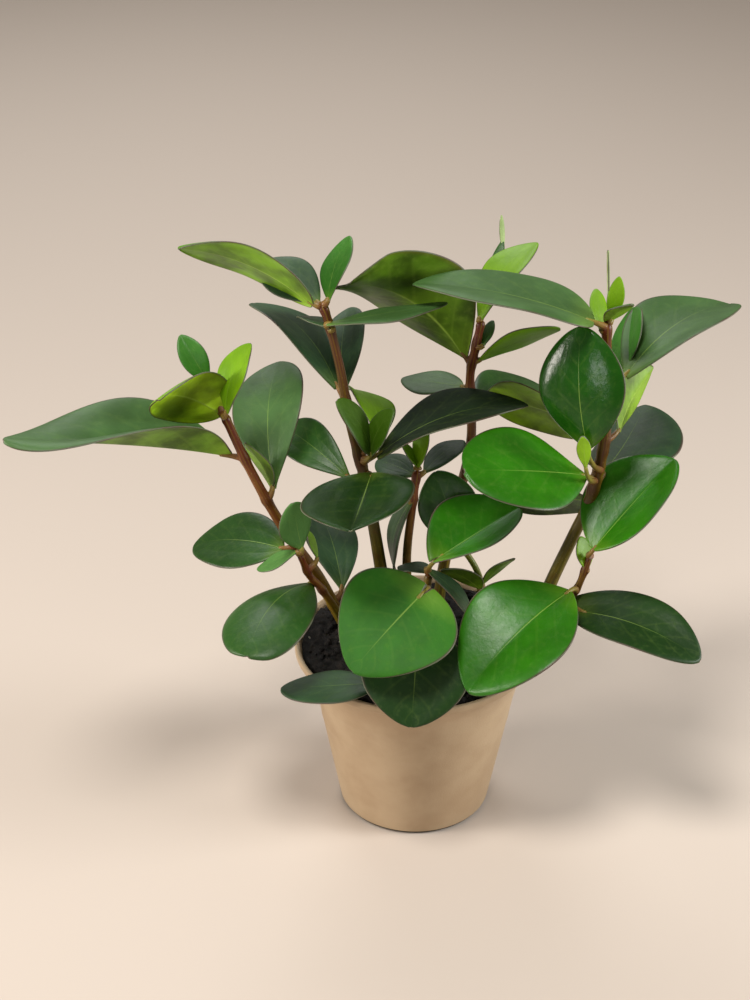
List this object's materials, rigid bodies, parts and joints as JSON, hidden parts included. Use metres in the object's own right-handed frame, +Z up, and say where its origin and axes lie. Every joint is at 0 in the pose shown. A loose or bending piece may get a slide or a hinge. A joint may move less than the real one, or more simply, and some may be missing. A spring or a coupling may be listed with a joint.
{
  "type": "potted peperomia",
  "caption": "Leafy peperomia house plant with upright stems and thick oval leaves, standing in soil in a tapered round pot.",
  "frame": {"origin": "middle of the flat foot of the pot", "axes": "+Z up, -Y to the front of the plant, +X to its right"},
  "size_m": [0.2896, 0.1303, 0.2689],
  "materials": {
    "pot_plastic": "moulded beige, matte",
    "potting_soil": "dark damp potting mix",
    "foliage": "waxy green leaf",
    "stem": "smooth red-brown to olive stem"
  },
  "bodies": {
    "root": {"pot": "pot_plastic", "soil": "potting_soil", "shoot_a": "foliage", "shoot_b": "foliage", "shoot_c": "foliage", "shoot_d": "foliage", "shoot_e": "foliage", "shoot_f": "foliage", "shoot_g": "foliage", "shoot_h": "foliage"}
  },
  "joints": []
}
